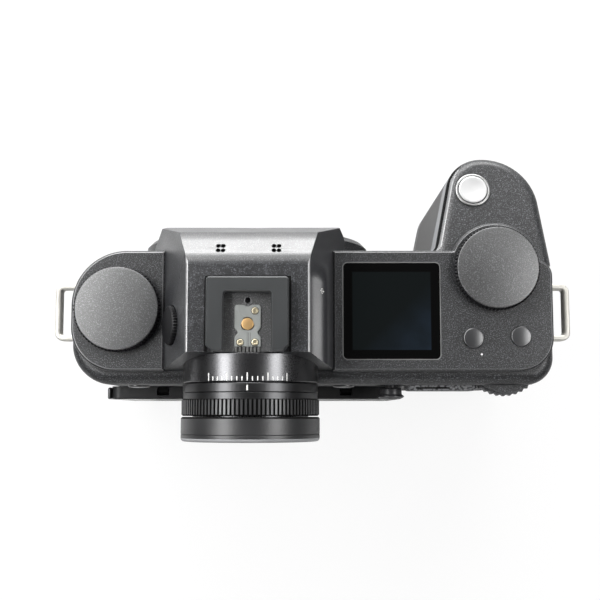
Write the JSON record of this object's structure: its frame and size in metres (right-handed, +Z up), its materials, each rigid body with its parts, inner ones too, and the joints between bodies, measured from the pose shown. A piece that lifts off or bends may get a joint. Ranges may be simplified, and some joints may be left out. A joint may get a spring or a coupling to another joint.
{
  "type": "mirrorless camera",
  "caption": "Mirrorless camera body with a deep grip, top dials, a top display, a viewfinder hump with a hot shoe and a tilting rear screen.",
  "frame": {"origin": "mouth of the tripod socket in the base, under the lens axis", "axes": "+Z up, -Y to the front along the lens axis, -X to the grip side"},
  "size_m": [0.1526, 0.0848, 0.108],
  "materials": {
    "painted_metal": "satin, fine grain",
    "dial_metal": "matt, grainy",
    "dark_metal": "anodised satin black",
    "steel": "satin",
    "silver": "bright satin",
    "gold": "gold plated",
    "black_glass": "gloss",
    "display": "gloss",
    "sensor_glass": "coated gloss",
    "lens_glass": "coated gloss",
    "lamp_plastic": "smoked gloss",
    "black_plastic": "matt",
    "grey_plastic": "matt",
    "leatherette": "pebbled matt",
    "joystick_rubber": "matt",
    "eyecup_rubber": "satin rubber",
    "circuit_board": "solder mask"
  },
  "bodies": {
    "camera": {"body_casting": "painted_metal", "base_plate": "painted_metal", "tripod_socket": "steel", "body_screws": "steel", "left_top_plate": "painted_metal", "right_top_plate": "painted_metal", "top_display_glass": "black_glass", "top_display_panel": "display", "grip_top_cover": "painted_metal", "shutter_collar": "silver", "viewfinder_hump": "painted_metal", "hot_shoe": "dark_metal", "shoe_contact_plate": "grey_plastic", "shoe_contacts": "gold", "mount_housing": "painted_metal", "lens_mount_ring": "steel", "mount_contact_block": "black_plastic", "mount_contacts": "gold", "sensor_unit": "black_plastic", "sensor_glass": "sensor_glass", "shutter_frame": "black_plastic", "front_covering_left": "leatherette", "grip_covering": "leatherette", "lamp_window": "lamp_plastic", "rear_cover": "painted_metal", "thumb_rest": "leatherette", "wheel_axle": "steel", "eyepiece_barrel": "dark_metal", "eyecup": "eyecup_rubber", "eyepiece_lens": "lens_glass", "card_slots": "black_plastic", "port_block": "black_plastic", "main_board": "circuit_board", "strap_lugs": "steel"},
    "left_dial": {"left_dial": "dial_metal"},
    "right_dial": {"right_dial": "dial_metal"},
    "rear_wheel": {"rear_wheel": "dial_metal"},
    "diopter_wheel": {"diopter_wheel": "dark_metal"},
    "eyepiece_ring": {"eyepiece_ring": "dark_metal"},
    "shutter_button": {"shutter_button": "silver"},
    "top_button_inner": {"top_button_inner": "dark_metal"},
    "top_button_outer": {"top_button_outer": "dark_metal"},
    "front_button_upper": {"front_button_upper": "dark_metal"},
    "front_button_lower": {"front_button_lower": "dark_metal"},
    "lens_release_button": {"lens_release_button": "dark_metal"},
    "mount_lock_pin": {"mount_lock_pin": "steel"},
    "rear_button_small": {"rear_button_small": "dark_metal"},
    "power_button": {"power_button": "dark_metal"},
    "rear_button_upper": {"rear_button_upper": "dark_metal"},
    "rear_button_middle": {"rear_button_middle": "dark_metal"},
    "rear_button_lower": {"rear_button_lower": "dark_metal"},
    "joystick_gimbal": {"joystick_gimbal": "black_plastic"},
    "joystick": {"joystick": "joystick_rubber"},
    "screen_arm": {"screen_arm": "dark_metal"},
    "screen": {"screen_housing": "black_plastic", "screen_glass": "black_glass"},
    "battery": {"battery": "black_plastic"},
    "battery_release_lever": {"battery_release_lever": "dark_metal"},
    "card_door": {"card_door": "painted_metal"},
    "port_cover": {"port_cover": "eyecup_rubber"}
  },
  "joints": [
    {"name": "left_dial_turn", "type": "hinge", "parent": "camera", "child": "left_dial", "pos_m": [0.0386, -0.0027, 0.088], "axis": [0, 0, 1], "continuous": true},
    {"name": "right_dial_turn", "type": "hinge", "parent": "camera", "child": "right_dial", "pos_m": [-0.0714, -0.0146, 0.088], "axis": [0, 0, 1], "continuous": true},
    {"name": "rear_wheel_turn", "type": "hinge", "parent": "camera", "child": "rear_wheel", "pos_m": [-0.0745, 0.0103, 0.076], "axis": [0, 0, 1], "continuous": true},
    {"name": "diopter_wheel_turn", "type": "hinge", "parent": "camera", "child": "diopter_wheel", "pos_m": [0.02233, 0.0025, 0.092], "axis": [0.911, 0, 0.4125], "continuous": true},
    {"name": "eyepiece_ring_turn", "type": "hinge", "parent": "camera", "child": "eyepiece_ring", "pos_m": [0, 0.023, 0.086], "axis": [0, 1, 0], "range_deg": [-34, 34]},
    {"name": "shutter_press", "type": "slide", "parent": "camera", "child": "shutter_button", "axis": [0, 0.1822, -0.9833], "range_m": [0, 0.0012], "stiffness_N_per_m": 600},
    {"name": "top_button_inner_press", "type": "slide", "parent": "camera", "child": "top_button_inner", "axis": [0, 0, -1], "range_m": [0, 0.0006], "stiffness_N_per_m": 500},
    {"name": "top_button_outer_press", "type": "slide", "parent": "camera", "child": "top_button_outer", "axis": [0, 0, -1], "range_m": [0, 0.0006], "stiffness_N_per_m": 500},
    {"name": "front_button_upper_press", "type": "slide", "parent": "camera", "child": "front_button_upper", "axis": [0, 1, 0], "range_m": [0, 0.0005], "stiffness_N_per_m": 500},
    {"name": "front_button_lower_press", "type": "slide", "parent": "camera", "child": "front_button_lower", "axis": [0, 1, 0], "range_m": [0, 0.0005], "stiffness_N_per_m": 500},
    {"name": "lens_release_press", "type": "slide", "parent": "camera", "child": "lens_release_button", "axis": [0, 1, 0], "range_m": [0, 0.0018], "stiffness_N_per_m": 600},
    {"name": "lock_pin_slide", "type": "slide", "parent": "camera", "child": "mount_lock_pin", "axis": [0, 1, 0], "range_m": [0, 0.0018], "stiffness_N_per_m": 300},
    {"name": "rear_button_small_press", "type": "slide", "parent": "camera", "child": "rear_button_small", "axis": [0, -1, 0], "range_m": [0, 0.0005], "stiffness_N_per_m": 500},
    {"name": "power_button_press", "type": "slide", "parent": "camera", "child": "power_button", "axis": [0, -1, 0], "range_m": [0, 0.0005], "stiffness_N_per_m": 500},
    {"name": "rear_button_upper_press", "type": "slide", "parent": "camera", "child": "rear_button_upper", "axis": [0, -1, 0], "range_m": [0, 0.0005], "stiffness_N_per_m": 500},
    {"name": "rear_button_middle_press", "type": "slide", "parent": "camera", "child": "rear_button_middle", "axis": [0, -1, 0], "range_m": [0, 0.0005], "stiffness_N_per_m": 500},
    {"name": "rear_button_lower_press", "type": "slide", "parent": "camera", "child": "rear_button_lower", "axis": [0, -1, 0], "range_m": [0, 0.0005], "stiffness_N_per_m": 500},
    {"name": "joystick_sideways", "type": "hinge", "parent": "camera", "child": "joystick_gimbal", "pos_m": [-0.0414, 0.0165, 0.074], "axis": [0, 0, 1], "range_deg": [-8, 8], "stiffness_Nm_per_rad": 0.02},
    {"name": "joystick_updown", "type": "hinge", "parent": "joystick_gimbal", "child": "joystick", "pos_m": [-0.0414, 0.0165, 0.074], "axis": [1, 0, 0], "range_deg": [-8, 8], "stiffness_Nm_per_rad": 0.02},
    {"name": "screen_arm_tilt", "type": "hinge", "parent": "camera", "child": "screen_arm", "pos_m": [0, 0.0175, 0.0076], "axis": [-1, 0, 0], "range_deg": [0, 45]},
    {"name": "screen_tilt", "type": "hinge", "parent": "screen_arm", "child": "screen", "pos_m": [0, 0.02, 0.0596], "axis": [1, 0, 0], "range_deg": [0, 90]},
    {"name": "battery_slide", "type": "slide", "parent": "camera", "child": "battery", "axis": [0, 0, -1], "range_m": [0, 0.058]},
    {"name": "battery_lever_turn", "type": "hinge", "parent": "camera", "child": "battery_release_lever", "pos_m": [-0.049, 0.008, 0.001], "axis": [0, 0, 1], "range_deg": [0, 40], "stiffness_Nm_per_rad": 0.01},
    {"name": "card_door_swing", "type": "hinge", "parent": "camera", "child": "card_door", "pos_m": [-0.0875, 0.0023, 0.041], "axis": [0, 0, 1], "range_deg": [0, 100]},
    {"name": "port_cover_swing", "type": "hinge", "parent": "camera", "child": "port_cover", "pos_m": [0.0517, -0.0079, 0.038], "axis": [0, 0, -1], "range_deg": [0, 100]}
  ],
  "couplings": [
    {"joint": "lock_pin_slide", "follows": "lens_release_press", "ratio": 1}
  ]
}
